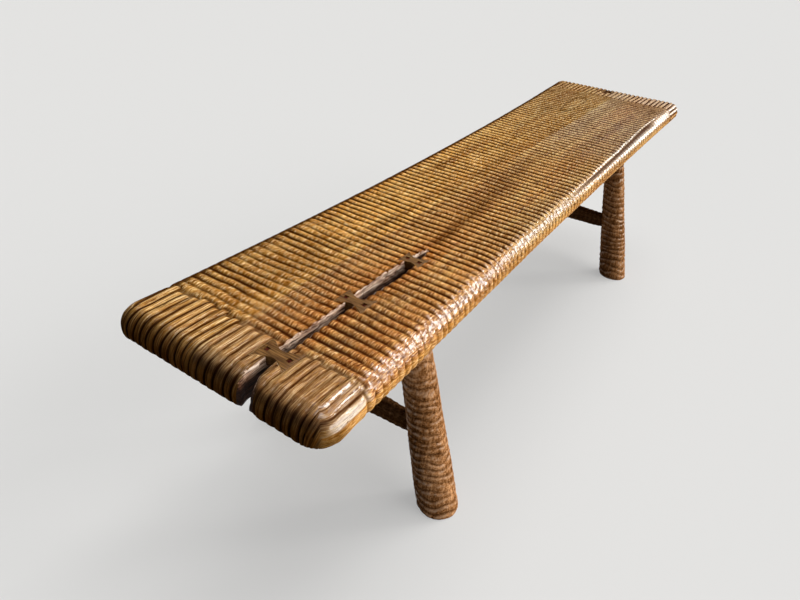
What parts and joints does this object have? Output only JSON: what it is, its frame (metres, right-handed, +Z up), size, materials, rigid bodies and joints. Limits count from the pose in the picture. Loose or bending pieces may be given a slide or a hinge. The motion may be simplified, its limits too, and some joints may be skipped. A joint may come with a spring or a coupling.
{
  "type": "bench",
  "caption": "Long low wooden bench with a carved slab seat, a natural split held by butterfly keys, and splayed round legs joined in pairs by stretchers.",
  "frame": {"origin": "on the floor, at the middle of the bench's footprint", "axes": "+X along the seat towards the end without the split, +Y to the left seen from the split end looking along +X, +Z up"},
  "size_m": [1.675, 0.4489, 0.45],
  "materials": {
    "seat_teak": "waxed, glossy on the worn edges",
    "key_teak": "waxed satin",
    "peg_hardwood": "dark satin",
    "leg_teak": "waxed satin",
    "stretcher_teak": "waxed satin"
  },
  "bodies": {
    "root": {"seat_slab": "seat_teak", "butterfly_key_outer": "key_teak", "butterfly_key_middle": "key_teak", "butterfly_key_inner": "key_teak", "key_pegs_outer": "peg_hardwood", "key_pegs_middle": "peg_hardwood", "key_pegs_inner": "peg_hardwood", "leg_near_right": "leg_teak", "leg_near_left": "leg_teak", "leg_far_right": "leg_teak", "leg_far_left": "leg_teak", "stretcher_near": "stretcher_teak", "stretcher_far": "stretcher_teak"}
  },
  "joints": []
}
